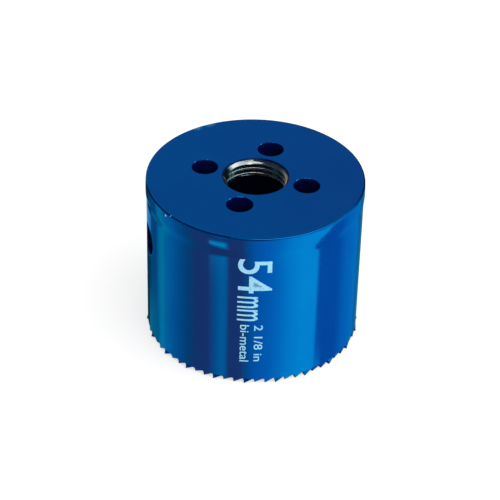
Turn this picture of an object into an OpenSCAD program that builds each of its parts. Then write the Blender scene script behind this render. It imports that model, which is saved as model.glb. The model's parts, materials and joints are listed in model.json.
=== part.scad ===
// Hole saw: a rolled band with a toothed high-speed-steel edge, closed by a
// threaded drive cap. Millimetres. The origin is the centre of the circle of
// tooth tips, on the plane that the tips stand on, and +Z runs along the axis
// towards the cap. Seen from the cap the saw cuts clockwise.

/* [Cutting edge] */
// Diameter of the hole it cuts, across the tips that are set outwards
cut_d = 54; // [50:0.5:60]
// Number of teeth round the edge
tooth_count = 65; // [58:1:70]
// Depth of the gullets above the tips
gullet_depth = 1.15; // [0.9:0.05:1.3]
// Radius of the rounded root of a gullet
gullet_r = 0.45; // [0.3:0.05:0.5]
// Hook of a tooth's leading face, in degrees back from upright
rake_angle = 0; // [-10:1:10]
// Sideways bend of a set tooth at its tip
tooth_set = 0.3; // [0.15:0.05:0.4]
// Height of the high-speed-steel strip above the tips
edge_h = 1.7; // [1.5:0.1:3]
// Turn of the first tooth's tip about the axis, in degrees
first_tooth = 0.7; // [0:0.1:5]

/* [Band] */
// Cutting depth, from the tips to the underside of the cap
cut_depth = 38; // [32:0.5:48]
// Wall thickness of the rolled strip
wall_t = 1.3; // [1:0.1:1.6]
// How far the band is spread outwards where it grips the cap
flare = 0.2; // [0.1:0.05:0.4]
// Height of the cone that blends the spread part into the wall
flare_blend = 2.4; // [1:0.2:4]
// Rounding of the rim's outer edge
rim_round = 0.5; // [0.2:0.1:0.8]

/* [Core removal holes] */
// Diameter of the two holes in the wall
side_hole_d = 8; // [6:0.5:9]
// Distance of their centres below the top face
side_hole_drop = 15.2; // [13:0.2:20]
// Turn of the first hole about the axis, in degrees
side_hole_turn = 13.5; // [0:0.5:90]

/* [Cap] */
// Thickness of the cap plate
cap_t = 5.2; // [4:0.2:7]
// Radial gap left between the cap and the band by the press fit
cap_gap = 0; // [0:0.01:0.05]
// Lead-in chamfer round the cap's lower edge
cap_lead = 0.6; // [0.3:0.1:1]
// Major diameter of the 5/8-18 arbor thread
thread_d = 15.875; // [12.7:0.005:16]
// Chamfer at each mouth of the thread
mouth_chamfer = 0.35; // [0.2:0.05:0.8]

/* [Drive pin holes] */
// Diameter of the circle through the pin holes
pin_circle_d = 26; // [24.5:0.5:28]
// Diameter of a pin hole
pin_d = 6.4; // [5:0.1:7]
// Number of pin holes
pin_count = 4; // [2:1:4]
// Turn of the first pin hole about the axis, in degrees
pin_turn = -16.2; // [-45:0.1:45]
// Chamfer round the upper edge of a pin hole
pin_chamfer = 0.2; // [0.1:0.05:0.4]

/* [Hidden] */
$fn = 96;

// Reach of a cutter past the face that it goes through
over = 1;
// Straight pieces in the arc of a gullet's root and of the rim's edge
root_steps = 5;
rim_steps = 4;
// Raker set: one tooth outwards, one inwards, one straight
set_pattern = [1, -1, 0];

wall_r = cut_d / 2 - tooth_set;
bore_r = wall_r - wall_t;
rim_r = wall_r + flare;
seat_r = rim_r - wall_t;
top_z = cut_depth + cap_t;
side_hole_z = top_z - side_hole_drop;

// Length of strip from one tip to the next, and the centre of the root arc between them:
// the arc runs into the back of the tooth before it and the leading face of the one after
pitch = 2 * PI * wall_r / tooth_count;
root_z = gullet_depth - gullet_r;
root_s = pitch + root_z * tan(rake_angle) - gullet_r / cos(rake_angle);
back_slope = atan2(root_z, root_s) + asin(gullet_r / norm([root_s, root_z]));

// Points on an arc round [x, y] from angle a to angle b
function arc(x, y, r, a, b, steps) =
    [for (i = [0 : steps]) let (t = a + (b - a) * i / steps) [x + r * cos(t), y + r * sin(t)]];

// Edge of the flat strip over one pitch, as [length, height]: tip, sloping back, root
back_end = root_s - gullet_r * sin(back_slope);
tooth_line = concat(
    [[0, 0], [back_end / 2, back_end / 2 * tan(back_slope)]],
    arc(root_s, root_z, gullet_r, 90 + back_slope, -rake_angle, root_steps));

// Half section of the band, from the strip's upper edge to the rim
band_outline = concat(
    [[bore_r, edge_h], [wall_r, edge_h], [wall_r, cut_depth - flare_blend], [rim_r, cut_depth]],
    arc(rim_r - rim_round, top_z - rim_round, rim_round, 0, 90, rim_steps),
    [[seat_r, top_z], [seat_r, cut_depth], [bore_r, cut_depth]]);

// Half section of the cap, bored and chamfered
cap_r = seat_r - cap_gap;
thread_r = thread_d / 2;
cap_outline = [
    [thread_r + mouth_chamfer, cut_depth], [cap_r - cap_lead, cut_depth],
    [cap_r, cut_depth + cap_lead], [cap_r, top_z],
    [thread_r + mouth_chamfer, top_z], [thread_r, top_z - mouth_chamfer],
    [thread_r, cut_depth + mouth_chamfer]];

// One drilled hole, with its upper edge broken
module pin_hole() {
    translate([0, 0, cut_depth - over])
        cylinder(d = pin_d, h = cap_t + 2 * over);
    translate([0, 0, top_z - pin_chamfer])
        cylinder(d1 = pin_d, d2 = pin_d + 2 * (pin_chamfer + over), h = pin_chamfer + over);
}

// The turned disc that closes the band and carries the thread and the pin holes
module cap_plate() {
    color("#12458c")
        difference() {
            rotate_extrude() polygon(cap_outline);
            for (i = [0 : pin_count - 1])
                rotate([0, 0, pin_turn + i * 360 / pin_count])
                    translate([pin_circle_d / 2, 0, 0]) pin_hole();
        }
}

// The rolled strip, spread where it grips the cap, with two holes to push out the core
module shell_band() {
    color("#0a5aa8")
        difference() {
            rotate_extrude() polygon(band_outline);
            for (side = [0, 180])
                rotate([0, 0, side_hole_turn + side])
                    translate([bore_r - over, 0, side_hole_z])
                        rotate([0, 90, 0]) cylinder(d = side_hole_d, h = wall_t + 2 * over);
        }
}

// Bend of a tooth at its tip, outwards if positive
function tooth_bend(i) = tooth_set * set_pattern[i % tooth_count % len(set_pattern)];

// A point of the rolled strip: length along it, radius before setting, height, bend
function rolled(s, r, z, bend) =
    let (turn = first_tooth + s / wall_r * 180 / PI, reach = r + bend * max(0, 1 - z / gullet_depth))
        [reach * cos(turn), reach * sin(turn), z];

// The welded-on cutting strip, rolled up. Each point of its toothed line is joined to one of
// the evenly spaced points above it. Past the middle of a root, it bends with the next tooth
module tooth_edge() {
    steps = len(tooth_line);
    columns = tooth_count * steps;
    points = [
        for (i = [0 : tooth_count - 1], j = [0 : steps - 1])
            let (
                s = i * pitch + tooth_line[j][0], z = tooth_line[j][1],
                upper_s = (i + (j + 1) / steps) * pitch,
                bend = tooth_bend(tooth_line[j][0] > root_s ? i + 1 : i))
                each [
                    rolled(s, wall_r, z, bend), rolled(upper_s, wall_r, edge_h, 0),
                    rolled(upper_s, bore_r, edge_h, 0), rolled(s, bore_r, z, bend)]];
    faces = [
        for (c = [0 : columns - 1])
            let (a = 4 * c, b = 4 * ((c + 1) % columns))
                each [
                    [a, a + 1, b + 1], [a, b + 1, b],
                    [a + 1, a + 2, b + 2], [a + 1, b + 2, b + 1],
                    [a + 2, a + 3, b + 2], [a + 3, b + 3, b + 2],
                    [a + 3, a, b], [a + 3, b, b + 3]]];
    color("#1d2f52") polyhedron(points, faces);
}

cap_plate();
shell_band();
tooth_edge();
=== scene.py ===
"""Looks of the hole saw: a steel cup saw dipped in clear blue lacquer, on a pale studio floor.

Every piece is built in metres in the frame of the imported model, on the radii and heights that the
model's nodes and mounts give. The pieces stand for the nodes: the drive cap with its arbor thread,
the rolled band, the toothed edge, and the printed size mark.
"""

import json
import logging
import math
from dataclasses import dataclass, field
from enum import Enum
from typing import Callable, Iterable, Sequence

import bmesh
import bpy
from mathutils import Matrix, Vector
from mathutils.geometry import delaunay_2d_cdt

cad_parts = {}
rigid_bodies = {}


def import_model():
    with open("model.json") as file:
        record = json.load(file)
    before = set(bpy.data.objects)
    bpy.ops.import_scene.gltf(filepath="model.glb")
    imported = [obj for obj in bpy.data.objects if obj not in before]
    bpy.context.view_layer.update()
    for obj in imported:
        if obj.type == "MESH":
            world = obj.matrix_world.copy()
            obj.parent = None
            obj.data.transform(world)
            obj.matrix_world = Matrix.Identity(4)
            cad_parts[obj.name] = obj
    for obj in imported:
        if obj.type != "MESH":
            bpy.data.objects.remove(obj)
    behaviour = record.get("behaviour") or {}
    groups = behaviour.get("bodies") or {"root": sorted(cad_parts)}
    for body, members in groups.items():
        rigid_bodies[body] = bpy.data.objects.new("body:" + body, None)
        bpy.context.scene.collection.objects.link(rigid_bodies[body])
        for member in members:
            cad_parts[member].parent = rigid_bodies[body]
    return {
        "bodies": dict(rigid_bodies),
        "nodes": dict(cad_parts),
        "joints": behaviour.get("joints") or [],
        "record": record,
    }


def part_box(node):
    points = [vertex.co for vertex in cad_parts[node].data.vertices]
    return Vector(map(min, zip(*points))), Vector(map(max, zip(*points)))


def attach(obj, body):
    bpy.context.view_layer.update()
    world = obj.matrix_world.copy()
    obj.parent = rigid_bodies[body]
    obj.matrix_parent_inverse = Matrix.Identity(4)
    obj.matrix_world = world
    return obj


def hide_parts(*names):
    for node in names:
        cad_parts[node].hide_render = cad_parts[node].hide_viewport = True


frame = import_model()

LOG = logging.getLogger("hole_saw")
MM = 0.001
INCH = 25.4
BODY = "root"

# How close points lie that become one: on a finished piece, and in a node tree
WELD = 0.001 * MM
TREE_WELD = 0.002 * MM

Colour = tuple[float, float, float]
Point2 = tuple[float, float]
Point3 = tuple[float, float, float]
Inputs = dict[str, object]
Tree = bpy.types.NodeTree
Node = bpy.types.Node
Shape = bmesh.types.BMesh


# ---------------------------------------------------------------- node trees


class Wire:
    """A number that runs through a node tree, and can be reckoned with in Python's own signs."""

    def __init__(self, graph: "Graph", socket: bpy.types.NodeSocket) -> None:
        """Holds the output socket that the number comes from."""
        self.graph = graph
        self.socket = socket

    def reckon(self, operation: str, *others: "Wire | float") -> "Wire":
        """Feeds the number, and others, to a Math node.

        Args:
            operation: the Math node's operation.
            others: what goes into its further inputs.

        Returns:
            The result.
        """
        node = self.graph.add("ShaderNodeMath", operation=operation)
        for socket, value in zip(node.inputs, (self, *others)):
            self.graph.put(socket, value)
        return Wire(self.graph, node.outputs[0])

    def __add__(self, other: "Wire | float") -> "Wire":
        """The sum."""
        return self.reckon("ADD", other)

    def __sub__(self, other: "Wire | float") -> "Wire":
        """The difference."""
        return self.reckon("SUBTRACT", other)

    def __mul__(self, other: "Wire | float") -> "Wire":
        """The product."""
        return self.reckon("MULTIPLY", other)

    def __truediv__(self, other: "Wire | float") -> "Wire":
        """The quotient."""
        return self.reckon("DIVIDE", other)

    __radd__ = __add__
    __rmul__ = __mul__

    def flipped(self) -> "Wire":
        """One less the number."""
        return (self * -1.0) + 1.0

    def ramp(self, low: float, high: float) -> "Wire":
        """Turns the number into 0 at low, 1 at high and a smooth step between.

        Args:
            low: the value that gives 0.
            high: the value that gives 1, which may lie below low.

        Returns:
            The share from 0 to 1.
        """
        node = self.graph.add("ShaderNodeMapRange", {
            "Value": self, "From Min": low, "From Max": high}, interpolation_type="SMOOTHSTEP")
        return Wire(self.graph, node.outputs["Result"])

    def window(self, centre: float, half: float, soft: float) -> "Wire":
        """Marks the values that lie near a centre.

        Args:
            centre: the middle of the marked stretch.
            half: half of its width, at half strength.
            soft: width of each soft edge.

        Returns:
            1 inside the stretch, 0 outside.
        """
        away = (self - centre).reckon("ABSOLUTE")
        return away.ramp(half + soft / 2, half - soft / 2)


class Graph:
    """A node tree under construction."""

    # Where a Mix node keeps its two colours and their mixture
    MIX_FIRST, MIX_SECOND, MIX_RESULT = 6, 7, 2

    def __init__(self, tree: Tree) -> None:
        """Empties the tree, so that it holds only what is wired here."""
        self.tree = tree
        tree.nodes.clear()

    def add(self, kind: str, inputs: Inputs | None = None, **settings: object) -> Node:
        """Adds a node.

        Args:
            kind: the node's type name.
            inputs: what goes into its inputs, by name.
            settings: its properties, by name.

        Returns:
            The node.
        """
        node = self.tree.nodes.new(kind)
        for name, value in settings.items():
            setattr(node, name, value)
        self.feed(node, inputs or {})
        return node

    def feed(self, node: Node, inputs: Inputs) -> None:
        """Sets inputs of a node by name."""
        for name, value in inputs.items():
            self.put(node.inputs[name], value)

    def put(self, socket: bpy.types.NodeSocket, value: object) -> None:
        """Sets an input socket, by a link where the value is a wire or an output socket.

        Args:
            socket: the input.
            value: a wire, an output socket, a number, a vector or a colour.
        """
        if isinstance(value, Wire):
            self.tree.links.new(value.socket, socket)
        elif isinstance(value, bpy.types.NodeSocket):
            self.tree.links.new(value, socket)
        elif socket.type == "RGBA":
            socket.default_value = (*value, 1.0)
        else:
            socket.default_value = value

    def wire(self, socket: bpy.types.NodeSocket) -> Wire:
        """Takes an output socket up as a number."""
        return Wire(self, socket)

    def axes(self, vector: bpy.types.NodeSocket) -> tuple[Wire, Wire, Wire]:
        """Splits a vector.

        Args:
            vector: the vector's socket.

        Returns:
            Its three numbers.
        """
        node = self.add("ShaderNodeSeparateXYZ", {"Vector": vector})
        return tuple(Wire(self, out) for out in node.outputs)

    def vector(self, x: object, y: object, z: object) -> bpy.types.NodeSocket:
        """Joins three numbers into a vector."""
        return self.add("ShaderNodeCombineXYZ", {"X": x, "Y": y, "Z": z}).outputs[0]

    def polar(self, radius: Wire, turn: Wire, height: Wire) -> bpy.types.NodeSocket:
        """The place at a radius and a turn about the saw's axis, and at a height."""
        return self.vector(turn.reckon("COSINE") * radius, turn.reckon("SINE") * radius, height)

    def mix(self, share: object, first: object, second: object) -> bpy.types.NodeSocket:
        """Mixes two colours.

        Args:
            share: how much of the second shows, from 0 to 1.
            first: the colour at 0.
            second: the colour at 1.

        Returns:
            The mixed colour.
        """
        node = self.add("ShaderNodeMix", {"Factor": share}, data_type="RGBA")
        self.put(node.inputs[self.MIX_FIRST], first)
        self.put(node.inputs[self.MIX_SECOND], second)
        return node.outputs[self.MIX_RESULT]

    def noise(self, at: object, scale: float, detail: float = 2.0, rough: float = 0.5) -> Wire:
        """Lays a noise over the surface.

        Args:
            at: the coordinates that it reads.
            scale: its scale.
            detail: how many finer layers it has.
            rough: how strong they are.

        Returns:
            The noise, from 0 to 1 round a half.
        """
        node = self.add("ShaderNodeTexNoise", {
            "Vector": at, "Scale": scale, "Detail": detail, "Roughness": rough})
        return Wire(self, node.outputs[0])


def seen_rays(graph: Graph) -> Wire:
    """Tells the rays that look at the surround from those that gather its light.

    Args:
        graph: the tree that asks.

    Returns:
        1 for camera, glossy and transmission rays, 0 for the rest.
    """
    path = graph.add("ShaderNodeLightPath")
    names = ("Is Camera Ray", "Is Glossy Ray", "Is Transmission Ray")
    camera, glossy, through = (graph.wire(path.outputs[name]) for name in names)
    return camera.reckon("MAXIMUM", glossy).reckon("MAXIMUM", through)


# ---------------------------------------------------------------- finishes


class Groups:
    """Shader groups that more than one finish uses, each built once."""

    _made: dict[str, Tree] = {}

    @classmethod
    def get(cls, name: str, build: Callable[[Graph, Node, Node], None],
            inputs: dict[str, tuple[str, object]], outputs: dict[str, str]) -> Tree:
        """Returns a shader group, and builds it the first time.

        Args:
            name: the group's name.
            build: wires the group between its input and output nodes.
            inputs: each input's socket type and default, by name.
            outputs: each output's socket type, by name.

        Returns:
            The group.
        """
        if name in cls._made:
            return cls._made[name]
        tree = bpy.data.node_groups.new(name, "ShaderNodeTree")
        for label, (kind, value) in inputs.items():
            socket = tree.interface.new_socket(label, in_out="INPUT", socket_type=kind)
            socket.default_value = value
        for label, kind in outputs.items():
            tree.interface.new_socket(label, in_out="OUTPUT", socket_type=kind)
        graph = Graph(tree)
        build(graph, graph.add("NodeGroupInput"), graph.add("NodeGroupOutput"))
        cls._made[name] = tree
        return tree

    @classmethod
    def skin(cls) -> Tree:
        """The dipped skin: how thick it lies, how it peels, and where dust dulls it.

        Returns:
            The group.
        """
        def build(graph: Graph, given: Node, out: Node) -> None:
            """Wires the group.

            Args:
                graph: the group's tree.
                given: its input node.
                out: its output node.
            """
            at = graph.add("ShaderNodeTexCoord").outputs["Object"]
            depth = graph.wire(given.outputs["Depth"])
            peel = graph.noise(at, scale=900.0, rough=0.4)
            sag = graph.noise(at, scale=95.0, detail=1.0, rough=0.4)
            pool = graph.noise(at, scale=60.0, detail=3.0, rough=0.55)
            grit = graph.noise(at, scale=4200.0, detail=1.0)
            drift = graph.noise(at, scale=140.0)
            dust = grit.ramp(0.66, 0.74) * drift.ramp(0.45, 0.65)
            graph.feed(out, {
                "Height": peel * depth + sag * depth * 2.0, "Pool": pool.ramp(0.3, 0.7),
                "Dust": dust * graph.wire(given.outputs["Dust"])})
        return cls.get(
            "dipped_skin", build,
            {"Depth": ("NodeSocketFloat", 1.0), "Dust": ("NodeSocketFloat", 1.0)},
            {"Height": "NodeSocketFloat", "Pool": "NodeSocketFloat", "Dust": "NodeSocketFloat"})

    @classmethod
    def spot(cls) -> Tree:
        """A ragged spot round a place: a chip, a rub, a painted glint or a patch of painted shade.

        Returns:
            The group.
        """
        def build(graph: Graph, given: Node, out: Node) -> None:
            """Wires the group.

            Args:
                graph: the group's tree.
                given: its input node.
                out: its output node.
            """
            at = graph.add("ShaderNodeTexCoord").outputs["Object"]
            gap = graph.add("ShaderNodeVectorMath", operation="DISTANCE")
            graph.put(gap.inputs[0], at)
            graph.put(gap.inputs[1], given.outputs["Place"])
            size, ragged, soft = (
                graph.wire(given.outputs[name]) for name in ("Size", "Ragged", "Soft"))
            grain = graph.noise(at, scale=1700.0, rough=0.6) - 0.5
            edge = graph.wire(gap.outputs["Value"]) / size + grain * ragged
            graph.put(out.inputs["Mask"], ((edge - 1.0) / soft * -1.0).ramp(0.0, 1.0))
        return cls.get(
            "ragged_spot", build,
            {"Place": ("NodeSocketVector", (0.0, 0.0, 0.0)), "Size": ("NodeSocketFloat", 0.001),
             "Ragged": ("NodeSocketFloat", 0.8), "Soft": ("NodeSocketFloat", 0.3)},
            {"Mask": "NodeSocketFloat"})


def built_once(build: Callable) -> Callable:
    """Makes a finish's method keep its material, so that every piece with the finish shares it.

    Args:
        build: the method that builds the material.

    Returns:
        The method, which builds it at the first call only.
    """
    def keep(finish: object) -> bpy.types.Material:
        """Returns the material by the finish's name, and builds it the first time."""
        return bpy.data.materials.get(finish.name) or build(finish)
    return keep


def new_material(name: str) -> tuple[bpy.types.Material, Graph, Node]:
    """Starts a material with one Principled shader.

    Args:
        name: the material's name.

    Returns:
        The material, its tree and the shader.
    """
    material = bpy.data.materials.new(name)
    material.use_nodes = True
    graph = Graph(material.node_tree)
    shader = graph.add("ShaderNodeBsdfPrincipled")
    graph.add("ShaderNodeOutputMaterial", {"Surface": shader.outputs["BSDF"]})
    return material, graph, shader


def relief(graph: Graph, height: Wire, strength: float, depth: float) -> bpy.types.NodeSocket:
    """Turns a height into a bumpy normal.

    Args:
        graph: the material's tree.
        height: the height, which may vary over the surface.
        strength: how much of the bump shows.
        depth: how far a height of 1 stands out, in metres.

    Returns:
        The normal.
    """
    bump = graph.add("ShaderNodeBump", {"Strength": strength, "Distance": depth, "Height": height})
    return bump.outputs["Normal"]


@dataclass(frozen=True)
class Mark:
    """A place on a round wall where the surface is chipped or rubbed, or where a glint, a grey
    reflection or shade is painted.

    Turn is in degrees to the right of the front, and radius, height and size are in millimetres.
    Rough is added to the surface's roughness. Ragged and soft are shares of the size.
    """

    turn: float
    radius: float
    height: float
    size: float
    tint: Colour
    rough: float
    ragged: float = 0.9
    soft: float = 0.25

    @property
    def place(self) -> Point3:
        """Where its middle lies, in metres."""
        bearing = math.radians(self.turn - 90)
        return (self.radius * MM * math.cos(bearing), self.radius * MM * math.sin(bearing),
                self.height * MM)

    def mask(self, graph: Graph) -> Wire:
        """Puts its spot into a material.

        Args:
            graph: the material's tree.

        Returns:
            How far the mark covers the surface, from 0 to 1.
        """
        spot = graph.add("ShaderNodeGroup", node_tree=Groups.spot())
        graph.feed(spot, {"Place": self.place, "Size": self.size * MM,
                          "Ragged": self.ragged, "Soft": self.soft})
        return graph.wire(spot.outputs["Mask"])


@dataclass(frozen=True)
class Lacquer:
    """Clear blue lacquer over bright steel, dipped and baked, and dull and near black below a
    height where one is given.
    """

    name: str
    tint: Colour = (0.004, 0.212, 0.63)
    thick_tint: Colour = (0.004, 0.192, 0.60)
    edge_tint: Colour = (0.05, 0.65, 1.0)
    gloss: float = 0.07
    pool_rough: float = 0.015
    peel: float = 1.0
    bump: float = 0.02
    bump_depth: float = 0.05 * MM
    dust: float = 0.6
    dust_rough: float = 0.3
    coat: float = 0.10
    coat_rough: float = 0.03
    metal: float = 1.0
    dark_below: float = 0.0
    dark_tint: Colour = (0.03, 0.025, 0.03)
    dark_rough: float = 0.35
    dark_ragged: float = 0.5
    dark_edge: Point2 = (0.9, 1.4)
    marks: tuple[Mark, ...] = ()
    mark_depth: float = 0.3

    @built_once
    def material(self) -> bpy.types.Material:
        """Builds the finish.

        Returns:
            The material.
        """
        material, graph, shader = new_material(self.name)
        skin = graph.add("ShaderNodeGroup", node_tree=Groups.skin())
        graph.feed(skin, {"Depth": self.peel, "Dust": self.dust})
        height, pool, dust = (
            graph.wire(skin.outputs[name]) for name in ("Height", "Pool", "Dust"))
        colour = graph.mix(pool, self.tint, self.thick_tint)
        rough = dust * self.dust_rough + pool * self.pool_rough + self.gloss
        clear = None
        # Below the given height the lacquer gives way to a dull, near-black surface with a ragged
        # edge.
        if self.dark_below:
            at = graph.add("ShaderNodeTexCoord").outputs["Object"]
            grain = graph.noise(at, scale=1800.0) * (self.dark_below * self.dark_ragged)
            low, high = (self.dark_below * share for share in self.dark_edge)
            clear = (graph.axes(at)[2] + grain).ramp(low, high)
            colour = graph.mix(clear, self.dark_tint, colour)
            rough = clear.flipped() * self.dark_rough + rough
        # Marks lay their tint over the lacquer, dull and without coat: chips and rubs, some of them
        # painted as glints or as a grey reflection.
        for mark in self.marks:
            share = mark.mask(graph)
            colour = graph.mix(share, colour, mark.tint)
            rough = share * mark.rough + rough
            height = height - share * self.mark_depth
            clear = share.flipped() if clear is None else clear * share.flipped()
        metal, coat = (
            value if clear is None else clear * value for value in (self.metal, self.coat))
        graph.feed(shader, {
            "Base Color": colour, "Roughness": rough, "Metallic": metal,
            "Specular Tint": self.edge_tint, "Coat Roughness": self.coat_rough,
            "Coat Weight": coat, "Normal": relief(graph, height, self.bump, self.bump_depth)})
        return material


@dataclass(frozen=True)
class CutSteel:
    """Steel as the tap or the grinding wheel left it, with fine lines round the axis."""

    name: str
    tint: Colour = (0.54, 0.55, 0.54)
    stain: Colour = (0.44, 0.41, 0.35)
    rough: float = 0.14
    line_rough: float = 0.12
    line_stretch: Point3 = (0.2, 0.2, 6.0)
    bump: float = 0.15
    bump_depth: float = 0.02 * MM
    marks: tuple[Mark, ...] = ()

    @built_once
    def material(self) -> bpy.types.Material:
        """Builds the finish.

        Returns:
            The material.
        """
        material, graph, shader = new_material(self.name)
        at = graph.add("ShaderNodeTexCoord").outputs["Object"]
        blot = graph.noise(at, scale=300.0, detail=3.0, rough=0.6).ramp(0.45, 0.7)
        colour = graph.mix(blot, self.tint, self.stain)
        # Marks darken the steel here: in the bore they are painted shade.
        for mark in self.marks:
            colour = graph.mix(mark.mask(graph), colour, mark.tint)
        drawn = graph.vector(*(axis * by for axis, by in zip(graph.axes(at), self.line_stretch)))
        lines = graph.noise(drawn, scale=2500.0, detail=1.0)
        graph.feed(shader, {
            "Base Color": colour, "Metallic": 1.0,
            "Roughness": lines * self.line_rough + self.rough,
            "Normal": relief(graph, lines, self.bump, self.bump_depth)})
        return material


@dataclass(frozen=True)
class Ink:
    """White pad print, slightly worn."""

    name: str
    tint: Colour = (0.38, 0.78, 1.0)
    thin: Colour = (0.22, 0.58, 0.88)
    rough: float = 0.3
    patch_rough: float = 0.2
    bump: float = 0.2
    bump_depth: float = 0.01 * MM

    @built_once
    def material(self) -> bpy.types.Material:
        """Builds the finish.

        Returns:
            The material.
        """
        material, graph, shader = new_material(self.name)
        at = graph.add("ShaderNodeTexCoord").outputs["Object"]
        patchy = graph.noise(at, scale=1400.0, detail=3.0, rough=0.6)
        graph.feed(shader, {
            "Base Color": graph.mix(patchy.ramp(0.5, 0.75), self.tint, self.thin),
            "Roughness": patchy * self.patch_rough + self.rough,
            "Normal": relief(graph, patchy, self.bump, self.bump_depth)})
        return material


# ---------------------------------------------------------------- meshes


def arc(centre: Point2, radius: float, start: float, end: float, steps: int) -> list[Point2]:
    """Points along an arc.

    Args:
        centre: the arc's centre.
        radius: its radius.
        start: the first point's angle, in degrees.
        end: the last point's angle, in degrees.
        steps: number of straight pieces.

    Returns:
        The points, both ends included.
    """
    angles = (math.radians(start + (end - start) * k / steps) for k in range(steps + 1))
    return [(centre[0] + radius * math.cos(a), centre[1] + radius * math.sin(a)) for a in angles]


def circle(centre: Point2, radius: float, steps: int) -> list[Point2]:
    """Points round a circle, the first not repeated."""
    return arc(centre, radius, 0.0, 360.0, steps)[:-1]


def polar(radius: float, turn: float, height: float) -> Vector:
    """The point at a radius and a turn about the saw's axis, and at a height."""
    return Vector((radius * math.cos(turn), radius * math.sin(turn), height))


def add_object(name: str, data: bpy.types.ID, *materials: bpy.types.Material) -> bpy.types.Object:
    """Puts a mesh, a text, a lamp or a camera in the scene.

    Args:
        name: the object's name.
        data: what it shows; a piece's mesh is already in place.
        materials: its materials in slot order, where the mesh doesn't carry them yet.

    Returns:
        The object, at the origin.
    """
    for material in materials:
        data.materials.append(material)
    thing = bpy.data.objects.new(name, data)
    bpy.context.scene.collection.objects.link(thing)
    return thing


def plain_mesh(carrier: bpy.types.Object) -> bpy.types.Mesh:
    """Turns what an object shows into a plain mesh, and removes the object.

    Args:
        carrier: the object, with its modifiers or its text.

    Returns:
        The mesh.
    """
    bpy.context.view_layer.update()
    shown = carrier.evaluated_get(bpy.context.evaluated_depsgraph_get())
    mesh = bpy.data.meshes.new_from_object(shown)
    bpy.data.objects.remove(carrier)
    return mesh


def tidy_mesh(mesh: bpy.types.Mesh, sharp: float, weld: float = WELD) -> bpy.types.Mesh:
    """Welds a mesh, drops faces with no area and shades it smooth up to an angle.

    Args:
        mesh: the mesh, changed in place.
        sharp: the angle in degrees past which an edge stays sharp.
        weld: how close points lie that become one.

    Returns:
        The mesh.
    """
    shape = bmesh.new()
    shape.from_mesh(mesh)
    bmesh.ops.remove_doubles(shape, verts=shape.verts, dist=weld)
    bmesh.ops.dissolve_degenerate(shape, edges=shape.edges, dist=weld / 2)
    bmesh.ops.delete(shape, geom=[v for v in shape.verts if not v.link_faces], context="VERTS")
    bmesh.ops.recalc_face_normals(shape, faces=shape.faces)
    shape.to_mesh(mesh)
    shape.free()
    mesh.shade_smooth()
    mesh.set_sharp_from_angle(angle=math.radians(sharp))
    return mesh


def finish_mesh(shape: Shape, name: str, sharp: float,
                weld: float = WELD) -> bpy.types.Mesh:
    """Makes a shape a mesh, and tidies it.

    Args:
        shape: the shape, which is freed.
        name: the mesh's name.
        sharp: the angle in degrees past which an edge stays sharp.
        weld: how close points lie that become one.

    Returns:
        The mesh.
    """
    mesh = bpy.data.meshes.new(name)
    shape.to_mesh(mesh)
    shape.free()
    return tidy_mesh(mesh, sharp, weld)


def sized_tree(name: str, kinds: dict[str, str]) -> tuple[Tree, Graph, Node]:
    """Starts a Geometry Nodes tree that gives one geometry.

    Args:
        name: the tree's name.
        kinds: the type of each of its inputs, by name.

    Returns:
        The tree, its graph and its input node.
    """
    tree = bpy.data.node_groups.new(name, "GeometryNodeTree")
    for label, kind in kinds.items():
        tree.interface.new_socket(label, in_out="INPUT", socket_type="NodeSocket" + kind)
    tree.interface.new_socket("Geometry", in_out="OUTPUT", socket_type="NodeSocketGeometry")
    graph = Graph(tree)
    return tree, graph, graph.add("NodeGroupInput")


def run_tree(tree: Tree, start: bpy.types.Mesh, inputs: Inputs) -> bpy.types.Mesh:
    """Runs a Geometry Nodes tree over a mesh.

    Args:
        tree: the tree.
        start: the mesh that it starts from.
        inputs: the values of its named inputs.

    Returns:
        The result as a plain mesh.
    """
    carrier = add_object(tree.name, start)
    modifier = carrier.modifiers.new(tree.name, "NODES")
    modifier.node_group = tree
    sockets = {s.name: s.identifier for s in tree.interface.items_tree if s.in_out == "INPUT"}
    for name, value in inputs.items():
        modifier[sockets[name]] = value
    mesh = plain_mesh(carrier)
    if mesh.materials[0] is None:
        mesh.materials.pop(index=0)
    return mesh


def mark_faces(mesh: bpy.types.Mesh, rule: Callable[[Vector], bool]) -> None:
    """Gives a mesh's second material to the faces whose centre meets a rule.

    Args:
        mesh: the mesh.
        rule: tells, from a face's centre, whether it gets that material.
    """
    for face in mesh.polygons:
        face.material_index = int(rule(face.center))


def bridge(shape: Shape, first: Sequence, second: Sequence, closed: bool = True) -> None:
    """Joins two rows of as many vertices with quads.

    Args:
        shape: the shape to add to.
        first: one row.
        second: the row beside it.
        closed: whether the rows run round to their start.
    """
    count = len(first)
    for k in range(count if closed else count - 1):
        n = (k + 1) % count
        shape.faces.new((first[k], first[n], second[n], second[k]))


# ---------------------------------------------------------------- measured frame


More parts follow.
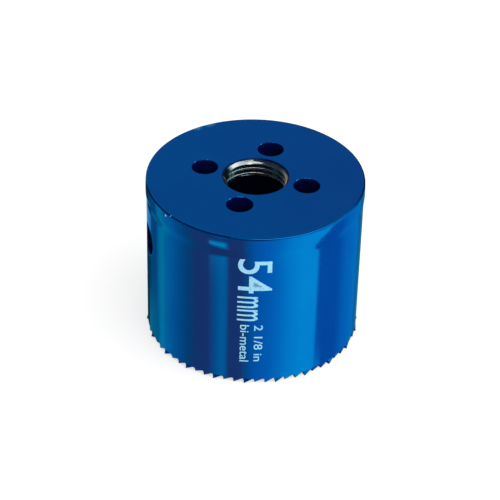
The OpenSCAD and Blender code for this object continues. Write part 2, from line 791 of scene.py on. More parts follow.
@dataclass(frozen=True)
class SawFrame:
    """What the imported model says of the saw, in metres."""

    top: float
    seat_height: float
    edge_height: float
    wall: float
    bore: float
    rim: float
    seat: float
    thread: float
    pin_circle: float
    pin: float
    pin_count: int

    @classmethod
    def read(cls, packed: dict) -> "SawFrame":
        """Measures the nodes and reads the mounts.


        Returns:
            The saw's main radii and heights.
        """
        cap_low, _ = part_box("cap_plate")
        band_low, band_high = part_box("shell_band")
        mounts = {mount["name"]: mount["dims"] for mount in packed["record"]["mounts"]}
        foot = cls.radii(packed["nodes"]["shell_band"], band_low.z)
        head = cls.radii(packed["nodes"]["shell_band"], band_high.z)
        return cls(
            top=band_high.z, seat_height=cap_low.z, edge_height=band_low.z,
            wall=max(foot), bore=min(foot), rim=band_high.x, seat=min(head),
            thread=mounts["arbor_thread"]["r_mm"] * MM,
            pin_circle=mounts["drive_pins"]["pcd_mm"] * MM / 2,
            pin=mounts["drive_pins"]["hole_r_mm"] * MM,
            pin_count=mounts["drive_pins"]["count"])

    @staticmethod
    def radii(node: bpy.types.Object, height: float) -> list[float]:
        """The distances from the axis of a node's points at a height."""
        return [math.hypot(v.co.x, v.co.y) for v in node.data.vertices
                if abs(v.co.z - height) < WELD]


# ---------------------------------------------------------------- the saw


@dataclass
class DriveCap:
    """The turned disc that closes the cup, bored and tapped for the arbor, with its pin holes."""

    saw: SawFrame
    finish: Lacquer
    inner_shade_finish: Lacquer
    thread_finish: CutSteel
    pin_turn: float = math.radians(-16.2)
    pin_break: float = 0.2 * MM
    break_shares: tuple[Point2, ...] = ((0.45, 0.12), (0.8, 0.45), (1.0, 1.0))
    mouth: float = 0.35 * MM
    lead: float = 0.6 * MM
    flat_margin: float = 0.05 * MM
    touch: float = 1e-9
    sides: int = 192
    hole_sides: int = 72
    sharp: float = 20.0
    threads_per_inch: int = 18
    thread_lift: float = 0.25 * MM
    thread_sides: int = 120
    thread_rows: int = 14
    thread_sharp: float = 40.0
    spare_turns: int = 2
    # Crest and flank are shares of half a pitch, thread_depth of a whole one
    crest: float = 0.25
    flank: float = 0.625
    thread_depth: float = 0.5413

    @property
    def pitch(self) -> float:
        """Rise of the thread over one turn."""
        return INCH / self.threads_per_inch * MM

    def holes(self) -> list[tuple[Point2, float, float]]:
        """Lists the holes through the disc.

        Returns:
            Each hole's centre, its radius and how far its upper edge is broken.
        """
        found = [((0.0, 0.0), self.saw.thread + self.mouth, 0.0)]
        for k in range(self.saw.pin_count):
            turn = self.pin_turn + math.tau * k / self.saw.pin_count
            centre = (self.saw.pin_circle * math.cos(turn), self.saw.pin_circle * math.sin(turn))
            found.append((centre, self.saw.pin, self.pin_break))
        return found

    def face(self, shape: Shape, height: float, outer: float, upper: bool) -> list[list]:
        """Lays one flat side of the disc, with its holes left open.

        Args:
            shape: the shape to add to.
            height: the side's height.
            outer: its outer radius.
            upper: whether it is the upper side, where the pin holes have their broken edge.

        Returns:
            The vertices of the outer edge and of each hole, in order.
        """
        mouths = [(centre, radius + (edge if upper else 0.0))
                  for centre, radius, edge in self.holes()]
        rings = [circle((0.0, 0.0), outer, self.sides)]
        for margin in (0.0, self.flat_margin):
            rings += [circle(centre, radius + margin, self.hole_sides) for centre, radius in mouths]
        points = [Vector(p) for ring in rings for p in ring]
        edges, start = [], 0
        for ring in rings:
            edges += [(start + k, start + (k + 1) % len(ring)) for k in range(len(ring))]
            start += len(ring)
        flat, _, triangles, _, _, _ = delaunay_2d_cdt(points, edges, [], 0, self.touch)
        made = [shape.verts.new((p.x, p.y, height)) for p in flat]
        for triangle in triangles:
            middle = sum((flat[i] for i in triangle), Vector((0.0, 0.0))) / 3
            if not any((middle - Vector(c)).length < r for c, r in mouths):
                shape.faces.new([made[i] for i in triangle])
        found, start = [], 0
        for ring in rings[:1 + len(mouths)]:
            found.append(made[start:start + len(ring)])
            start += len(ring)
        return found

    def plate(self) -> bpy.types.Object:
        """Builds the disc with its holes.

        Returns:
            The piece.
        """
        saw, shape = self.saw, bmesh.new()
        upper = self.face(shape, saw.top, saw.seat, True)
        lower = self.face(shape, saw.seat_height, saw.seat - self.lead, False)
        shoulder = saw.seat_height + self.lead
        waist = [shape.verts.new(polar(saw.seat, math.tau * k / self.sides, shoulder))
                 for k in range(self.sides)]
        bridge(shape, upper[0], waist)
        bridge(shape, waist, lower[0])
        for (centre, radius, edge), high, low in zip(self.holes(), upper[1:], lower[1:]):
            rows = [high]
            for come_in, down in self.break_shares if edge else ():
                ring = circle(centre, radius + edge - edge * come_in, self.hole_sides)
                rows.append([shape.verts.new((x, y, saw.top - edge * down)) for x, y in ring])
            rows.append(low)
            for first, second in zip(rows, rows[1:]):
                bridge(shape, first, second)
        mesh = finish_mesh(shape, "drive_cap", self.sharp)
        below = saw.top - self.pin_break
        # Faces below the pin holes' broken edges, down the holes, round the side and under the disc
        # take the near-black inner lacquer: painted shade.
        mark_faces(mesh, lambda centre: centre.z < below)
        return add_object("drive_cap", mesh, self.finish.material(), self.inner_shade_finish.material())

    def thread(self) -> bpy.types.Object:
        """Builds the tapped wall by Geometry Nodes: a sheet wound on a helix, and a sleeve.

        Returns:
            The piece.
        """
        inputs = {"Major": self.saw.thread, "Pitch": self.pitch, "Bottom": self.saw.seat_height,
                  "Top": self.saw.top, "Mouth": self.mouth, "Lift": self.thread_lift}
        tree, graph, given = sized_tree(
            "arbor_thread", {**dict.fromkeys(inputs, "Float"), "Finish": "Material"})
        major, pitch, bottom, top, mouth, lift = (
            graph.wire(given.outputs[name]) for name in inputs)
        spare = self.spare_turns
        turns = math.ceil((self.saw.top - self.saw.seat_height) / self.pitch) + spare
        sheet = graph.add("GeometryNodeMeshGrid", {
            "Size X": 1.0, "Size Y": 1.0, "Vertices X": self.thread_sides + 1,
            "Vertices Y": turns * self.thread_rows + 1})
        x, y, _ = graph.axes(graph.add("GeometryNodeInputPosition").outputs[0])
        turn, climb = x + 0.5, (y + 0.5) * turns - spare
        height = bottom + lift + (climb + turn) * pitch
        height = height.reckon("MAXIMUM", bottom).reckon("MINIMUM", top)
        # Share of half a pitch from the middle of a crest, where the metal stands in furthest
        share = ((climb + spare).reckon("FRACT") - 0.5).reckon("ABSOLUTE") * 2.0
        flank = ((share - self.crest) / self.flank).reckon("MAXIMUM", 0.0).reckon("MINIMUM", 1.0)
        cut = major - pitch * self.thread_depth * flank.flipped()
        into = (top - height).reckon("MINIMUM", height - bottom)
        radius = cut.reckon("MAXIMUM", major + mouth - into)
        place = graph.add("GeometryNodeSetPosition", {
            "Geometry": sheet.outputs["Mesh"],
            "Position": graph.polar(radius, turn * math.tau, height)})
        sleeve = graph.add("GeometryNodeMeshCylinder", {
            "Vertices": self.thread_sides, "Radius": major + mouth, "Depth": top - bottom},
            fill_type="NONE")
        raised = graph.add("GeometryNodeTransform", {
            "Geometry": sleeve.outputs["Mesh"],
            "Translation": graph.vector(0.0, 0.0, (top + bottom) / 2)})
        both = graph.add("GeometryNodeJoinGeometry")
        for part in (place, raised):
            graph.put(both.inputs[0], part.outputs[0])
        weld = graph.add("GeometryNodeMergeByDistance", {
            "Geometry": both.outputs[0], "Distance": TREE_WELD})
        real = graph.add("GeometryNodeRealizeInstances", {"Geometry": weld.outputs[0]})
        dress = graph.add("GeometryNodeSetMaterial", {
            "Geometry": real.outputs[0], "Material": given.outputs["Finish"]})
        graph.add("NodeGroupOutput", {"Geometry": dress.outputs[0]})
        mesh = run_tree(tree, bpy.data.meshes.new("arbor_thread"),
                        {**inputs, "Finish": self.thread_finish.material()})
        # The sleeve and the mouth of the bore take the near-black inner lacquer: painted shade.
        mark_faces(mesh, lambda centre: centre.xy.length > self.saw.thread)
        mesh = tidy_mesh(mesh, self.thread_sharp)
        return add_object("arbor_thread", mesh, self.inner_shade_finish.material())

    def build(self) -> list[bpy.types.Object]:
        """Builds the disc and its thread, and ties them to the frame.

        Returns:
            The pieces.
        """
        plate = self.plate()
        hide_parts("cap_plate")
        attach(plate, BODY)
        thread = self.thread()
        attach(thread, BODY)
        return [plate, thread]


@dataclass
class RolledBand:
    """The cup's wall: a strip rolled up and welded, spread a little where it grips the cap."""

    saw: SawFrame
    finish: Lacquer
    inner_shade_finish: Lacquer
    spread_from: float = 36.9 * MM
    spread_to: float = 40.0 * MM
    tuck: float = 0.07 * MM
    rim_round: float = 0.5 * MM
    rim_steps: int = 10
    rim_flat: float = 0.03 * MM
    hole: float = 4.0 * MM
    hole_height: float = 28.0 * MM
    hole_turn: float = math.radians(13.5)
    hole_break: float = 0.15 * MM
    break_shares: tuple[Point2, ...] = ((0.55, 0.1), (0.2, 0.4), (0.0, 1.0))
    patch: float = 5.5 * MM
    patch_cells: int = 12
    patch_shares: tuple[float, ...] = (0.25, 0.5, 0.75, 0.92, 1.0)
    columns: int = 130
    foot_rows: int = 6
    head_rows: int = 40
    sharp: float = 35.0

    def outer(self, height: float) -> float:
        """The outer radius at a height below the rim's rounding.

        Args:
            height: the height.

        Returns:
            The radius.
        """
        saw = self.saw
        last = saw.top - self.rim_round
        up = min(max((height - self.spread_from) / (self.spread_to - self.spread_from), 0.0), 1.0)
        lean = min(max((height - self.spread_to) / (last - self.spread_to), 0.0), 1.0)
        swell = (saw.rim - saw.wall) * (1 - math.cos(math.pi * up)) / 2
        return saw.wall + swell - self.tuck * lean ** 2

    def section(self) -> list[Point2]:
        """The wall's half section above the holes' rows, from the outside round to the inside.

        Returns:
            Radius and height of each point.
        """
        saw = self.saw
        first, last = self.hole_height + self.patch, saw.top - self.rim_round
        heights = [first + (last - first) * k / self.head_rows
                   for k in range(1, self.head_rows + 1)]
        inset = self.outer(last) - self.rim_round
        points = [(self.outer(height), height) for height in heights]
        points += arc((inset, last), self.rim_round, 0, 90, self.rim_steps)[1:]
        points += [(inset - self.rim_flat, saw.top), (saw.seat, saw.top),
                   (saw.seat, saw.seat_height), (saw.bore, saw.seat_height), (saw.bore, first)]
        return points

    def turns(self) -> list[float]:
        """The turns of the wall's columns: fine and even in each hole's patch, even between them.

        Returns:
            The turns in radians, in order.
        """
        found = []
        reach = math.asin(self.patch / self.saw.wall)
        for side in (0.0, math.pi):
            middle = self.hole_turn + side
            for k in range(self.patch_cells):
                offset = self.patch * (2 * k / self.patch_cells - 1)
                found.append(middle + math.asin(offset / self.saw.wall))
            start, end = middle + reach, middle + math.pi - reach
            found += [start + (end - start) * k / self.columns for k in range(self.columns)]
        return found

    def wall(self) -> bpy.types.Object:
        """Builds the wall as rows of quads, with a ring of quads round each hole.

        Returns:
            The piece.
        """
        saw, shape = self.saw, bmesh.new()
        turns = self.turns()
        low, high = self.hole_height - self.patch, self.hole_height + self.patch
        cells = self.patch_cells
        foot = [(saw.wall, saw.edge_height + (low - saw.edge_height) * k / self.foot_rows)
                for k in range(self.foot_rows)]
        band = [low + (high - low) * k / cells for k in range(cells + 1)]
        head = self.section()
        inner = [(saw.bore, z) for z in reversed(band[:-1])]
        inner += [(saw.bore, z) for _, z in reversed(foot)]
        outline = foot + [(saw.wall, z) for z in band] + head + inner
        rows = [[shape.verts.new(polar(r, t, z)) for t in turns] for r, z in outline]
        count = len(turns)
        out_row, in_row = len(foot), len(foot) + len(band) + len(head) - 1
        per_side = cells + self.columns
        for i, row in enumerate(rows):
            following = rows[(i + 1) % len(rows)]
            in_patch = out_row <= i < out_row + cells or in_row <= i < in_row + cells
            for k in range(count):
                if in_patch and k % per_side < cells:
                    continue
                n = (k + 1) % count
                shape.faces.new((row[k], row[n], following[n], following[k]))
        for side in range(2):
            start = side * per_side
            middle = self.hole_turn + side * math.pi
            outside = self.ring(shape, rows, out_row, start, saw.wall, middle, 1)
            inside = self.ring(shape, rows, in_row + cells, start, saw.bore, middle, -1)
            bridge(shape, outside, inside)
        mesh = finish_mesh(shape, "rolled_band", self.sharp)
        within = saw.wall - 2 * self.hole_break
        # The inside of the wall and the bores of its side holes take the near-black inner lacquer:
        # painted shade.
        mark_faces(mesh, lambda centre: centre.z < saw.seat_height and centre.xy.length < within)
        return add_object("rolled_band", mesh, self.finish.material(), self.inner_shade_finish.material())

    def ring(self, shape: Shape, rows: list, base: int, start: int, radius: float,
             middle: float, step: int) -> list:
        """Fills one hole's patch on one side of the wall, from its edge to the drilled edge.

        Args:
            shape: the shape to add to.
            rows: the wall's rows of vertices.
            base: the row at the patch's lower edge.
            start: the column at its first edge.
            radius: the wall's radius on this side.
            middle: the hole's turn.
            step: the way to the next row up, 1 or -1.

        Returns:
            The vertices on the drilled wall, just past its broken edge.
        """
        cells, count = self.patch_cells, len(rows[0])
        corners = [(k, 0) for k in range(cells)] + [(cells, k) for k in range(cells)]
        corners += [(cells - k, cells) for k in range(cells)]
        corners += [(0, cells - k) for k in range(cells)]
        edge = [rows[base + step * j][(start + i) % count] for i, j in corners]
        across = [(2 * i / cells - 1, 2 * j / cells - 1) for i, j in corners]
        bearings = [math.atan2(up, along) for along, up in across]
        last, mouth = edge, self.hole + self.hole_break
        for share in self.patch_shares:
            row = []
            for bearing, (along, up) in zip(bearings, across):
                y, z = self.patch * along, self.patch * up
                y += (mouth * math.cos(bearing) - y) * share
                z += (mouth * math.sin(bearing) - z) * share
                row.append(shape.verts.new(self.on_wall(radius, middle, y, z, 0.0)))
            bridge(shape, last, row)
            last = row
        for out_by, down in self.break_shares:
            reach, sink = self.hole + self.hole_break * out_by, -step * self.hole_break * down
            row = [shape.verts.new(self.on_wall(
                radius, middle, reach * math.cos(b), reach * math.sin(b), sink)) for b in bearings]
            bridge(shape, last, row)
            last = row
        return last

    def on_wall(self, radius: float, middle: float, y: float, z: float, sink: float) -> Vector:
        """A point of the wall near a hole.

        Args:
            radius: the wall's radius.
            middle: the hole's turn.
            y: how far the point lies beside the hole's axis.
            z: how far it lies above it.
            sink: how far it lies out from the surface, along the hole.

        Returns:
            The point.
        """
        ahead = math.sqrt(radius ** 2 - y ** 2) + sink
        x2 = ahead * math.cos(middle) - y * math.sin(middle)
        y2 = ahead * math.sin(middle) + y * math.cos(middle)
        return Vector((x2, y2, self.hole_height + z))

    def build(self) -> list[bpy.types.Object]:
        """Builds the wall and ties it to the frame.

        Returns:
            The pieces.
        """
        piece = self.wall()
        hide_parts("shell_band")
        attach(piece, BODY)
        return [piece]


@dataclass
class ToothedEdge:
    """The high-speed-steel strip with its teeth, set in a raker pattern."""

    saw: SawFrame
    finish: Lacquer
    cut_finish: CutSteel
    teeth: int = 65
    gullet: float = 1.15 * MM
    root: float = 0.45 * MM
    set_by: float = 0.3 * MM
    first: float = math.radians(0.7)
    columns: int = 8
    root_steps: int = 8
    face_steps: int = 3
    rows: int = 6
    cut_rows: int = 4
    raker: int = 3
    sharp: float = 35.0

    @property
    def pitch(self) -> float:
        """Length of strip from one tip to the next."""
        return math.tau * self.saw.wall / self.teeth

    def tooth_line(self) -> list[Point2]:
        """One tooth's edge on the flat strip: tip, sloping back, rounded root, upright face.

        Returns:
            Length along the strip and height of each point, the next tip left out.
        """
        rise, run = self.gullet - self.root, self.pitch - self.root
        slope = math.atan2(rise, run) + math.asin(self.root / math.hypot(run, rise))
        end = run - self.root * math.sin(slope)
        back = [(end * k / self.columns, end * k / self.columns * math.tan(slope))
                for k in range(self.columns)]
        bend = arc((run, rise), self.root, 90 + math.degrees(slope), 0, self.root_steps)
        face = [(self.pitch, rise * (1 - k / self.face_steps)) for k in range(1, self.face_steps)]
        return back + bend + face

    def cell(self) -> bpy.types.Mesh:
        """One pitch of the flat strip, open at both ends.

        Returns:
            The mesh: length along X, depth into the wall along Y, height along Z.
        """
        line = self.tooth_line() + [(self.pitch, 0.0)]
        count = len(line)
        depth = self.saw.wall - self.saw.bore
        shape = bmesh.new()
        skins = []
        for y in (0.0, depth):
            grid = []
            for j in range(self.rows + 1):
                share = j / self.rows
                grid.append([shape.verts.new((
                    s + (self.pitch * k / (count - 1) - s) * share, y,
                    z + (self.saw.edge_height - z) * share)) for k, (s, z) in enumerate(line)])
            for first, second in zip(grid, grid[1:]):
                bridge(shape, first, second, closed=False)
            skins.append(grid)
        cut = [skins[0][0]]
        for j in range(1, self.cut_rows):
            cut.append([shape.verts.new((s, depth * j / self.cut_rows, z)) for s, z in line])
        cut.append(skins[1][0])
        lower = len(shape.faces)
        for first, second in zip(cut, cut[1:]):
            bridge(shape, first, second, closed=False)
        bridge(shape, skins[0][-1], skins[1][-1], closed=False)
        shape.faces.ensure_lookup_table()
        ground = shape.faces.layers.int.new("ground")
        for face in list(shape.faces)[lower:-(count - 1)]:
            face[ground] = 1
        mesh = bpy.data.meshes.new("tooth_cell")
        shape.to_mesh(mesh)
        shape.free()
        return mesh

    def tree(self) -> Tree:
        """The Geometry Nodes tree that repeats the cell, rolls the strip up and sets its teeth.

        Returns:
            The tree.
        """
        sizes = ("Pitch", "Radius", "Gullet", "Root", "Set", "First")
        tree, graph, given = sized_tree("toothed_edge", {
            "Geometry": "Geometry", "Teeth": "Int", **dict.fromkeys(sizes, "Float"),
            "Skin": "Material", "Ground": "Material"})
        teeth, pitch, radius, gullet, root, bend, first = (
            graph.wire(given.outputs[name]) for name in ("Teeth", *sizes))
        row = graph.add("GeometryNodeMeshLine", {
            "Count": teeth, "Offset": graph.vector(pitch, 0.0, 0.0)})
        copies = graph.add("GeometryNodeInstanceOnPoints", {
            "Points": row.outputs[0], "Instance": given.outputs["Geometry"]})
        real = graph.add("GeometryNodeRealizeInstances", {"Geometry": copies.outputs[0]})
        s, depth, z = graph.axes(graph.add("GeometryNodeInputPosition").outputs[0])
        # Past the middle of a root, the strip bends with the tooth that follows
        tooth = ((s + root) / pitch).reckon("FLOOR").reckon("MODULO", teeth)
        phase, near = tooth.reckon("MODULO", self.raker), 0.1
        outwards, inwards = (phase.reckon("COMPARE", place, near) for place in (0.0, 1.0))
        lift = (z / gullet).flipped().reckon("MAXIMUM", 0.0)
        reach = radius - depth + (outwards - inwards) * bend * lift
        place = graph.add("GeometryNodeSetPosition", {
            "Geometry": real.outputs[0], "Position": graph.polar(reach, s / radius + first, z)})
        weld = graph.add("GeometryNodeMergeByDistance", {
            "Geometry": place.outputs[0], "Distance": TREE_WELD})
        skin = graph.add("GeometryNodeSetMaterial", {
            "Geometry": weld.outputs[0], "Material": given.outputs["Skin"]})
        named = graph.add("GeometryNodeInputNamedAttribute", {"Name": "ground"}, data_type="INT")
        ground = graph.add("GeometryNodeSetMaterial", {
            "Geometry": skin.outputs[0], "Selection": named.outputs["Attribute"],
            "Material": given.outputs["Ground"]})
        graph.add("NodeGroupOutput", {"Geometry": ground.outputs[0]})
        return tree

    def build(self) -> list[bpy.types.Object]:
        """Builds the edge and ties it to the frame.

        Returns:
            The pieces.
        """
        skin, ground = self.finish.material(), self.cut_finish.material()
        mesh = run_tree(self.tree(), self.cell(), {
            "Teeth": self.teeth, "Pitch": self.pitch, "Radius": self.saw.wall,
            "Gullet": self.gullet, "Root": self.root, "Set": self.set_by, "First": self.first,
            "Skin": skin, "Ground": ground})
        piece = add_object("toothed_edge", tidy_mesh(mesh, self.sharp))
        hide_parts("tooth_edge")
        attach(piece, BODY)
        return [piece]


@dataclass(frozen=True)
class Words:
    """A run of print, in millimetres, read down the wall.

    Start is the height above the tips at which it begins, and foot is how far round the wall the
    foot of its letters stands. Bold is how far its strokes are spread, as a share of its tallness.
    """

    text: str
    tall: float
    length: float
    start: float
    foot: float
    bold: float


@dataclass
class SizeMark:
    """The white print that gives the saw's size, read from the cap down."""

    saw: SawFrame
    finish: Ink
    turn: float = math.radians(-89.0)
    thick: float = 0.03 * MM
    # Share of its thickness that lies in the wall
    sunk: float = 0.25
    strip: float = 0.35 * MM
    sharp: float = 32.0
    # The strokes of a figure may pass closer than the usual weld
    weld: float = 0.1 * WELD
    # How tall a capital stands in the lettering, as a share of its size
    capital: float = 0.7
    runs: tuple[Words, ...] = (
        Words("54", tall=8.2, length=9.8, start=37.2, foot=-4.1, bold=0.004),
        Words("mm", tall=5.0, length=7.2, start=26.3, foot=-4.1, bold=0.004),
        Words("2 1/8 in", tall=2.1, length=11.0, start=17.8, foot=0.1, bold=0.006),
        Words("bi-metal", tall=2.2, length=11.2, start=17.8, foot=-3.3, bold=0.006))

    def run(self, words: Words) -> bpy.types.Mesh:
        """Sets one run of print, makes it a mesh and lays it on the wall.

        Args:
            words: the run.

        Returns:
            The mesh.
        """
        text = bpy.data.curves.new("size_mark", "FONT")
        text.body, text.size = words.text, words.tall * MM / self.capital
        text.offset, text.extrude = words.tall * MM * words.bold, self.thick / 2
        mesh = plain_mesh(add_object("size_mark", text))
        left, right = (pick(v.co.x for v in mesh.vertices) for pick in (min, max))
        low, high = (pick(v.co.y for v in mesh.vertices) for pick in (min, max))
        shape = bmesh.new()
        shape.from_mesh(mesh)
        for vert in shape.verts:
            along = (vert.co.x - left) / (right - left) * words.length
            up = (vert.co.y - low) / (high - low) * words.tall
            vert.co = Vector((words.foot + up, words.start - along, vert.co.z / MM)) * MM
        for k in range(1, int(words.tall * MM / self.strip) + 1):
            geom = [*shape.verts, *shape.edges, *shape.faces]
            at = (words.foot * MM + k * self.strip, 0, 0)
            bmesh.ops.bisect_plane(shape, geom=geom, plane_co=at, plane_no=(1, 0, 0))
        for vert in shape.verts:
            out = self.saw.wall + vert.co.z + self.thick * (0.5 - self.sunk)
            vert.co = polar(out, self.turn + vert.co.x / self.saw.wall, vert.co.y)
        shape.to_mesh(mesh)
        shape.free()
        return mesh

    def build(self) -> list[bpy.types.Object]:
        """Builds the print and ties it to the frame.

        Returns:
            The pieces.
        """
        shape = bmesh.new()
        for words in self.runs:
            shape.from_mesh(self.run(words))
        mesh = finish_mesh(shape, "size_mark", self.sharp, self.weld)
        piece = add_object("size_mark", mesh, self.finish.material())
        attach(piece, BODY)
        return [piece]


# ---------------------------------------------------------------- the studio


class Tone(Enum):
    """Tones of the cards and screens that stand round the saw and show in its gloss."""

    BLACK = (0.01, 0.02, 0.03)
    INDIGO = (0.03, 0.10, 0.20)
    DARK = (0.03, 0.07, 0.08)
    FLAG = (0.90, 0.15, 0.23)
    DUSK = (0.06, 0.23, 0.26)
    SHADE = (0.08, 0.31, 0.40)
    MIDDLE = (0.06, 0.44, 0.48)
    MIST = (0.05, 0.55, 0.50)
    TEAL = (0.05, 0.76, 0.50)
    DEEP = (0.10, 0.31, 0.55)
    OPEN = (0.05, 0.38, 0.58)
    CLEAR = (0.05, 0.50, 0.71)
    LAKE = (0.05, 0.54, 0.70)
    LAGOON = (0.05, 0.58, 0.70)
    PALE = (0.05, 0.66, 0.80)
    BRIGHT = (0.05, 0.88, 0.91)
    WINDOW = (0.10, 1.06, 1.00)
    GOLD = (0.46, 0.39, 0.30)
    LOFT = (0.30, 0.25, 0.35)
    LOFT_LEFT = (0.25, 0.285, 0.37)
    LOFT_RIGHT = (0.55, 0.215, 0.335)


Stops = tuple[tuple[float, Tone], ...]


@dataclass(frozen=True)
class Card:
    """A small soft-edged card in the surround.

    Azimuth and half_width are in degrees, and azimuth counts to the right from the front. Low and
    high are heights on a sphere of radius 1, where soft is the width over which those edges fade.
    Slant is by how many degrees the card turns over a height of 1.
    """

    azimuth: float
    half_width: float
    low: float
    high: float
    colour: Colour
    soft: float = 0.02
    slant: float = 0.0


@dataclass
class Studio:
    """The floor, the surround that shows in the gloss, the lamp and the camera."""

    target: Vector = field(default_factory=lambda: Vector((-0.91, 0.0, 21.02)) * MM)
    distance: float = 469.6 * MM
    elevation: float = math.radians(35.42)
    roll: float = math.radians(1.478)
    lens: float = 134.75
    sensor: float = 36.0
    clip_end: float = 20.0
    floor_radius: float = 3.0
    floor_sides: int = 96
    floor_albedo: float = 0.42
    floor_lift: float = 0.62
    # Within the cup the floor has no lift
    cup: Point2 = (24.5 * MM, 25.0 * MM)
    lamp_place: Point3 = (0.40, -0.30, 0.56)
    lamp_side: float = 1.0
    lamp_power: float = 5.5
    ambient: float = 0.80
    screens: Stops = (
        (-180, Tone.DARK), (-154, Tone.DARK), (-139, Tone.DUSK), (-129, Tone.DUSK),
        (-123, Tone.MIST), (-116, Tone.TEAL), (-108, Tone.MIST), (-100, Tone.MIDDLE),
        (-88, Tone.SHADE), (-75, Tone.DUSK), (-64, Tone.FLAG), (-48, Tone.FLAG),
        (-40, Tone.SHADE), (-34, Tone.MIDDLE), (-29, Tone.MIDDLE), (-25, Tone.FLAG),
        (-12, Tone.FLAG), (-4, Tone.SHADE), (2, Tone.OPEN), (18, Tone.CLEAR),
        (29, Tone.PALE), (40, Tone.BRIGHT), (56, Tone.WINDOW), (72, Tone.WINDOW),
        (75, Tone.DEEP), (103, Tone.DEEP), (118, Tone.LAKE), (132, Tone.LAGOON),
        (142, Tone.LAGOON), (151, Tone.SHADE), (165, Tone.SHADE), (180, Tone.DARK))
    horizon: Stops = (
        (-180, Tone.DARK), (-172, Tone.DUSK), (-166, Tone.GOLD), (-147, Tone.GOLD),
        (-134, Tone.BLACK), (-100, Tone.INDIGO), (-22, Tone.INDIGO), (8, Tone.INDIGO),
        (20, Tone.SHADE), (32, Tone.CLEAR), (50, Tone.PALE), (72, Tone.DEEP),
        (100, Tone.DUSK), (118, Tone.DUSK), (135, Tone.DARK), (180, Tone.BLACK))
    loft: Stops = (
        (-180, Tone.LOFT), (-172, Tone.LOFT_LEFT), (-163, Tone.LOFT_LEFT), (-157, Tone.GOLD),
        (-142, Tone.GOLD), (-130, Tone.BLACK), (-60, Tone.INDIGO), (-18, Tone.INDIGO),
        (10, Tone.INDIGO), (40, Tone.OPEN), (75, Tone.DEEP), (100, Tone.DUSK),
        (125, Tone.DUSK), (150, Tone.DARK), (165, Tone.LOFT_RIGHT), (172, Tone.LOFT_RIGHT),
        (180, Tone.LOFT))
    zenith: Colour = (0.01, 0.02, 0.03)
    # Between which heights, on a sphere of radius 1, each ring gives way to the next one up
    to_horizon: Point2 = (-0.50, -0.42)
    to_loft: Point2 = (0.38, 0.50)
    to_zenith: Point2 = (0.64, 0.72)
    card_soft: float = 5.0
    cards: tuple[Card, ...] = (
        Card(-38, 9, -0.578, -0.543, (0.3, 1.0, 0.80), 0.010),
        Card(-36, 14, -0.530, -0.495, (0.5, 0.15, 0.23), 0.008),
        Card(-34, 16, -0.76, -0.65, (0.9, 0.13, 0.20)),
        Card(64, 12, -0.562, -0.497, (0.1, 1.1, 1.05), 0.004, 250.0),
        Card(78, 4, -0.633, -0.6265, (0.1, 1.25, 1.15), 0.002),
        Card(-159, 15, -0.5725, -0.5595, (0.40, 0.56, 0.64), 0.003),
        Card(95, 22, -0.50, -0.10, (0.1, 0.85, 0.95)),
        Card(-138, 15, -0.66, -0.60, (0.05, 0.42, 0.34)),
        Card(-158, 12, -0.48, -0.15, (0.3, 0.50, 0.45), 0.03),
        *(Card(side, 50, 0.66, 0.97, (0.3, 0.37, 0.45), 0.04) for side in (-180, 180)),
        *(Card(side, 12, 0.62, 0.99, (0.08, 0.40, 0.52), 0.03) for side in (-180, 180)),
        Card(100, 31, 0.53, 0.86, (2.1, 2.25, 2.3), 0.03, -325.0))

    def camera(self) -> None:
        """Places the camera."""
        data = bpy.data.cameras.new("camera")
        data.lens, data.sensor_width, data.clip_end = self.lens, self.sensor, self.clip_end
        camera = add_object("camera", data)
        tilt = Matrix.Rotation(math.pi / 2 - self.elevation, 4, "X")
        back = Vector((0.0, -math.cos(self.elevation), math.sin(self.elevation)))
        place = Matrix.Translation(self.target + back * self.distance)
        camera.matrix_world = place @ (tilt @ Matrix.Rotation(self.roll, 4, "Z"))
        bpy.context.scene.camera = camera

    @staticmethod
    def ring_of(graph: Graph, screens: Stops, azimuth: Wire) -> bpy.types.NodeSocket:
        """Stands screens in a ring about the saw.

        Args:
            graph: the world's tree.
            screens: where along the ring each tone stands, in degrees.
            azimuth: where a ray looks, in degrees.

        Returns:
            The tone that the ray meets.
        """
        bands = graph.add("ShaderNodeValToRGB")
        stops = bands.color_ramp.elements
        while len(stops) > 1:
            stops.remove(stops[0])
        for k, (angle, tone) in enumerate(screens):
            stop = stops.new((angle + 180) / 360) if k else stops[0]
            stop.position = (angle + 180) / 360
            stop.color = (*tone.value, 1.0)
        graph.put(bands.inputs[0], azimuth / 360 + 0.5)
        return bands.outputs[0]

    def surround(self) -> None:
        """Wires the world: plain light for the scene, screens and cards for what looks at it."""
        world = bpy.data.worlds.new("studio")
        world.use_nodes = True
        bpy.context.scene.world = world
        graph = Graph(world.node_tree)
        x, y, z = graph.axes(graph.add("ShaderNodeTexCoord").outputs["Generated"])
        azimuth = x.reckon("ARCTAN2", y * -1.0) * (180 / math.pi)
        look = self.ring_of(graph, self.screens, azimuth)
        for (low, high), ring in ((self.to_horizon, self.horizon), (self.to_loft, self.loft)):
            look = graph.mix(z.ramp(low, high), look, self.ring_of(graph, ring, azimuth))
        look = graph.mix(z.ramp(*self.to_zenith), look, self.zenith)
        for card in self.cards:
            middle, half = (card.low + card.high) / 2, (card.high - card.low) / 2
            turned = azimuth - (z - card.low) * card.slant if card.slant else azimuth
            across = turned.window(card.azimuth, card.half_width, self.card_soft)
            look = graph.mix(across * z.window(middle, half, card.soft), look, card.colour)
        path = graph.add("ShaderNodeLightPath")
        look = graph.mix(path.outputs["Is Camera Ray"], look, (1.0, 1.0, 1.0))
        light = graph.mix(seen_rays(graph), (self.ambient,) * 3, look)
        background = graph.add("ShaderNodeBackground", {"Color": light})
        graph.add("ShaderNodeOutputWorld", {"Surface": background.outputs[0]})

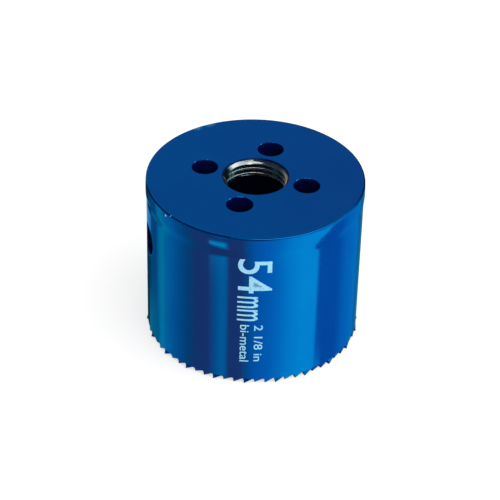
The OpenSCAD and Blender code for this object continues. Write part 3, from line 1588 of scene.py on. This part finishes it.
    def floor(self) -> None:
        """Lays the floor, which takes the saw's shadow and lets the gloss look past it."""
        mesh = bpy.data.meshes.new("floor")
        rim = circle((0.0, 0.0), self.floor_radius, self.floor_sides)
        mesh.from_pydata([(x, y, 0.0) for x, y in rim], [], [list(range(self.floor_sides))])
        material = bpy.data.materials.new("floor")
        material.use_nodes = True
        graph = Graph(material.node_tree)
        x, y, _ = graph.axes(graph.add("ShaderNodeTexCoord").outputs["Object"])
        outside = (x * x + y * y).reckon("SQRT").ramp(*self.cup)
        paint = graph.add("ShaderNodeBsdfDiffuse", {"Color": (self.floor_albedo,) * 3})
        lift = graph.add("ShaderNodeEmission", {
            "Strength": seen_rays(graph) * outside * self.floor_lift})
        both = graph.add("ShaderNodeAddShader")
        for socket, shader in zip(both.inputs, (paint, lift)):
            graph.put(socket, shader.outputs[0])
        clear = graph.add("ShaderNodeBsdfTransparent")
        path = graph.add("ShaderNodeLightPath")
        glossy = graph.wire(path.outputs["Is Glossy Ray"])
        mixed = graph.add("ShaderNodeMixShader")
        layers = (glossy * outside, both.outputs[0], clear.outputs[0])
        for socket, layer in zip(mixed.inputs, layers):
            graph.put(socket, layer)
        graph.add("ShaderNodeOutputMaterial", {"Surface": mixed.outputs[0]})
        add_object("floor", mesh, material)

    def lamp(self) -> None:
        """Hangs one large soft lamp over the saw, which the gloss doesn't show."""
        data = bpy.data.lights.new("softbox", "AREA")
        data.shape, data.size, data.energy = "SQUARE", self.lamp_side, self.lamp_power
        lamp = add_object("softbox", data)
        place = Vector(self.lamp_place)
        aim = place.to_track_quat("Z", "Y").to_matrix().to_4x4()
        lamp.matrix_world = Matrix.Translation(place) @ aim
        lamp.visible_glossy = False

    def build(self) -> None:
        """Sets up the whole studio."""
        self.camera()
        self.surround()
        self.floor()
        self.lamp()


# ---------------------------------------------------------------- the whole


# Tints at the rim and in the bore: chips painted pale as glints, a painted glint on thin lacquer, a
# dark chip, rubs whose grey is a painted reflection, and painted shade in the bore
BARE_CHIP_GLINT, THIN_LACQUER_GLINT, CHIP = (0.70, 0.86, 0.92), (0.35, 0.62, 0.75), (0.01, 0.01, 0.02)
RUB_AND_SHEEN, BORE_SHADE_TINT = (0.05, 0.11, 0.24), (0.03, 0.04, 0.04)
# Two dull rubs at the rear left of the rim, whose grey tint is a painted reflection.
RIM_RUBS_AND_SHEEN = tuple(Mark(turn, 26.9, 43.2, size=2.2, tint=RUB_AND_SHEEN, rough=0.3, ragged=0.8, soft=0.9)
                 for turn in (-153.0, -145.0))
# Chips at the front left of the rim: the pale ones are painted as glints, and one is dark.
RIM_WEAR_AND_GLINTS = (
    Mark(-52.0, 26.85, 42.2, size=0.26, tint=BARE_CHIP_GLINT, rough=0.3),
    Mark(-48.0, 26.8, 43.08, size=0.25, tint=THIN_LACQUER_GLINT, rough=0.3),
    Mark(-53.6, 26.85, 42.05, size=0.34, tint=CHIP, rough=0.3, ragged=0.4), *RIM_RUBS_AND_SHEEN)
# Dark patches on the tapped steel at the bore's left: painted shade that dims its reflection.
BORE_PAINTED_SHADE = (
    Mark(-104.0, 8.2, 42.6, size=3.0, tint=BORE_SHADE_TINT, rough=0.0, ragged=0.3, soft=0.45),
    Mark(-68.0, 8.2, 42.4, size=3.2, tint=BORE_SHADE_TINT, rough=0.0, ragged=0.3, soft=0.45))


def main() -> None:
    """Sets the studio up, then builds and dresses the saw's sub-assemblies in order."""
    logging.basicConfig(level=logging.INFO, format="%(name)s: %(message)s")
    bpy.context.scene.view_settings.view_transform = "Standard"
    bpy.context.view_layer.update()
    saw = SawFrame.read(frame)
    Studio().build()
    # Inside the cup and in the holes, the same blue lacquer is darkened to near black: painted
    # shade.
    inner = Lacquer("inner_lacquer_painted_shade", tint=(0.001, 0.003, 0.055), thick_tint=(0.001, 0.002, 0.04),
                    gloss=0.35, dust=0.3, coat=0.02, metal=0.3)
    # The teeth's cut faces get near-black steel, and their lacquer turns dull and near black below
    # 0.55 mm.
    ground = CutSteel("ground_steel", tint=(0.02, 0.04, 0.10), stain=(0.02, 0.02, 0.03))
    assemblies = (
        DriveCap(saw, Lacquer("cap_lacquer", marks=RIM_RUBS_AND_SHEEN), inner,
                 CutSteel("tapped_steel", marks=BORE_PAINTED_SHADE)),
        RolledBand(saw, Lacquer("band_lacquer", marks=RIM_WEAR_AND_GLINTS), inner),
        ToothedEdge(saw, Lacquer("edge_lacquer", dark_below=0.55 * MM), ground),
        SizeMark(saw, Ink("white_print")))
    for assembly in assemblies:
        for piece in assembly.build():
            LOG.info("%s: %d faces", piece.name, len(piece.data.polygons))


if __name__ == "__main__":
    main()
